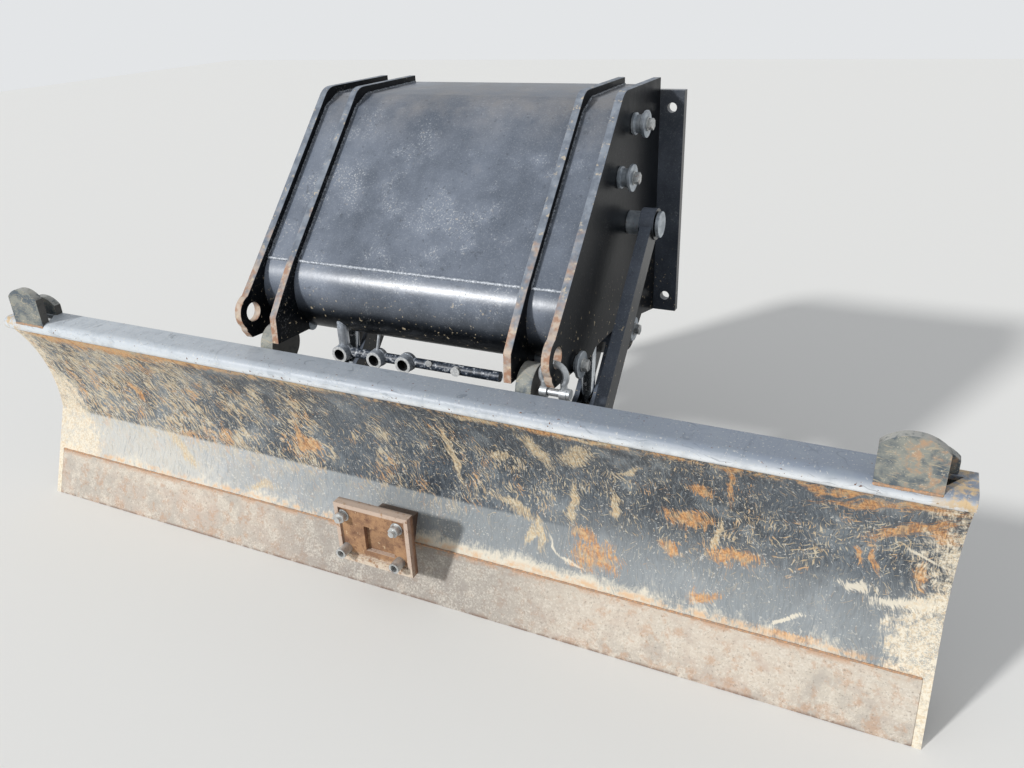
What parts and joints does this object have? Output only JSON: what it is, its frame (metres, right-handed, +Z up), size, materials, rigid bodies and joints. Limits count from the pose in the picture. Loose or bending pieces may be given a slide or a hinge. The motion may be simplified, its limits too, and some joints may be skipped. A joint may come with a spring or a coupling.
{
  "type": "wheeled excavator dozer blade unit",
  "caption": "Dozer blade of a wheeled excavator with its parallel lift linkage, lift cylinders and bolt-on bracket; worn black paint, rusty tow bracket and cutting edge.",
  "frame": {"origin": "middle of the rear mounting face of the bracket's flange", "axes": "+X to the machine's right along the blade, +Y rearward into the undercarriage, +Z up"},
  "size_m": [2.55, 0.933, 1.192],
  "materials": {
    "bracket_paint": "satin",
    "blade_paint": "satin",
    "worn_steel": "worn",
    "rust": "matt",
    "pin_steel": "satin",
    "rod_chrome": "polished",
    "galvanised": "matt"
  },
  "bodies": {
    "bracket": {"outer_plate_left": "bracket_paint", "outer_plate_right": "bracket_paint", "inner_plate_left": "bracket_paint", "inner_plate_right": "bracket_paint", "centre_cover": "bracket_paint", "narrow_cover_left": "bracket_paint", "narrow_cover_right": "bracket_paint", "mounting_flange": "bracket_paint", "arm_pin_left": "pin_steel", "arm_pin_right": "pin_steel", "link_pin_left": "pin_steel", "link_pin_right": "pin_steel", "cylinder_pin_left": "pin_steel", "cylinder_pin_right": "pin_steel", "tie_pin_left": "pin_steel", "tie_pin_right": "pin_steel", "ear_pin_left": "pin_steel", "ear_pin_right": "pin_steel", "port_block": "bracket_paint", "shackle_bow": "galvanised", "shackle_pin": "galvanised"},
    "lift_arm": {"lift_arm_left": "bracket_paint", "lift_arm_right": "bracket_paint", "cross_tube": "bracket_paint"},
    "blade": {"moldboard": "blade_paint", "cutting_edge": "worn_steel", "rear_box": "blade_paint", "end_plate_left": "blade_paint", "end_plate_right": "blade_paint", "corner_lug_left": "blade_paint", "corner_lug_right": "blade_paint", "rear_lug_left": "blade_paint", "rear_lug_right": "blade_paint", "arm_lug_left": "blade_paint", "arm_lug_right": "blade_paint", "link_lug_left": "blade_paint", "link_lug_right": "blade_paint", "guide_lug_left": "blade_paint", "guide_lug_right": "blade_paint", "tow_bracket": "rust", "arm_tip_pin_left": "pin_steel", "arm_tip_pin_right": "pin_steel", "link_tip_pin_left": "pin_steel", "link_tip_pin_right": "pin_steel"},
    "link_left": {"upper_link_left": "bracket_paint"},
    "link_right": {"upper_link_right": "bracket_paint"},
    "cylinder_left": {"barrel_left": "bracket_paint"},
    "cylinder_right": {"barrel_right": "bracket_paint"},
    "piston_left": {"rod_left": "rod_chrome"},
    "piston_right": {"rod_right": "rod_chrome"}
  },
  "joints": [
    {"name": "lift", "type": "hinge", "parent": "bracket", "child": "lift_arm", "pos_m": [0, -0.245, -0.29], "axis": [-1, 0, 0], "range_deg": [-14, 42]},
    {"name": "blade_level", "type": "hinge", "parent": "lift_arm", "child": "blade", "pos_m": [0, -0.673, -0.735], "axis": [-1, 0, 0], "range_deg": [-42.2, 14.2]},
    {"name": "link_swing_left", "type": "hinge", "parent": "bracket", "child": "link_left", "pos_m": [-0.495, -0.272, 0.015], "axis": [-1, 0, 0], "range_deg": [-14.2, 42.2]},
    {"name": "link_swing_right", "type": "hinge", "parent": "bracket", "child": "link_right", "pos_m": [0.495, -0.272, 0.015], "axis": [-1, 0, 0], "range_deg": [-14.2, 42.2]},
    {"name": "cylinder_swing_left", "type": "hinge", "parent": "bracket", "child": "cylinder_left", "pos_m": [-0.3795, -0.352, 0.146], "axis": [-1, 0, 0], "range_deg": [-4.36, 12.49]},
    {"name": "rod_slide_left", "type": "slide", "parent": "cylinder_left", "child": "piston_left", "axis": [0, -0.107, -0.9943], "range_m": [-0.1347, 0.0456]},
    {"name": "cylinder_swing_right", "type": "hinge", "parent": "bracket", "child": "cylinder_right", "pos_m": [0.3795, -0.352, 0.146], "axis": [-1, 0, 0], "range_deg": [-4.36, 12.49]},
    {"name": "rod_slide_right", "type": "slide", "parent": "cylinder_right", "child": "piston_right", "axis": [0, -0.107, -0.9943], "range_m": [-0.1347, 0.0456]}
  ],
  "couplings": [
    {"joint": "blade_level", "follows": "lift", "ratio": -1},
    {"joint": "link_swing_left", "follows": "lift", "ratio": 1},
    {"joint": "link_swing_right", "follows": "lift", "ratio": 1},
    {"joint": "cylinder_swing_left", "follows": "lift", "ratio": 0.2903},
    {"joint": "cylinder_swing_right", "follows": "lift", "ratio": 0.2903},
    {"joint": "rod_slide_left", "follows": "lift", "m_per_rad": -0.18238},
    {"joint": "rod_slide_right", "follows": "lift", "m_per_rad": -0.18238}
  ]
}
